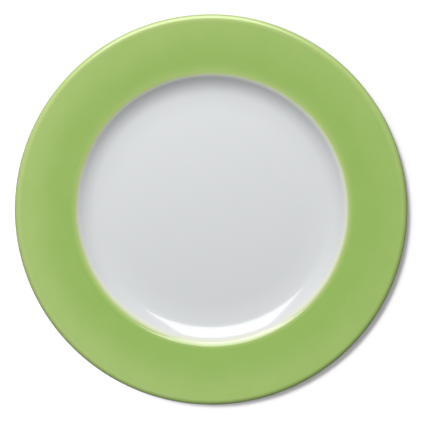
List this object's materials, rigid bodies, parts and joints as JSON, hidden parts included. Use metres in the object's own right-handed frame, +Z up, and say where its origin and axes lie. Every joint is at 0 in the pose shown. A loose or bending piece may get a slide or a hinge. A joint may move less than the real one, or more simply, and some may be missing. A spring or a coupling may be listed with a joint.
{
  "type": "china dinner plate",
  "caption": "Flat round dinner plate in glazed white porcelain, with a wide rim under a coloured glaze band, a rounded lip and a foot ring.",
  "frame": {"origin": "on the plate's axis, in the plane of the foot ring's tread, where the plate stands", "axes": "+Z up out of the well along the plate's axis of turning; +X and +Y are any two level directions at right angles"},
  "size_m": [0.27, 0.27, 0.0247],
  "materials": {
    "bisque_porcelain": "matte",
    "clear_glaze": "gloss",
    "green_glaze": "gloss"
  },
  "bodies": {
    "root": {"porcelain_body": "bisque_porcelain", "well_glaze": "clear_glaze", "green_rim_glaze": "green_glaze", "underside_glaze": "clear_glaze", "foot_recess_glaze": "clear_glaze"}
  },
  "joints": []
}
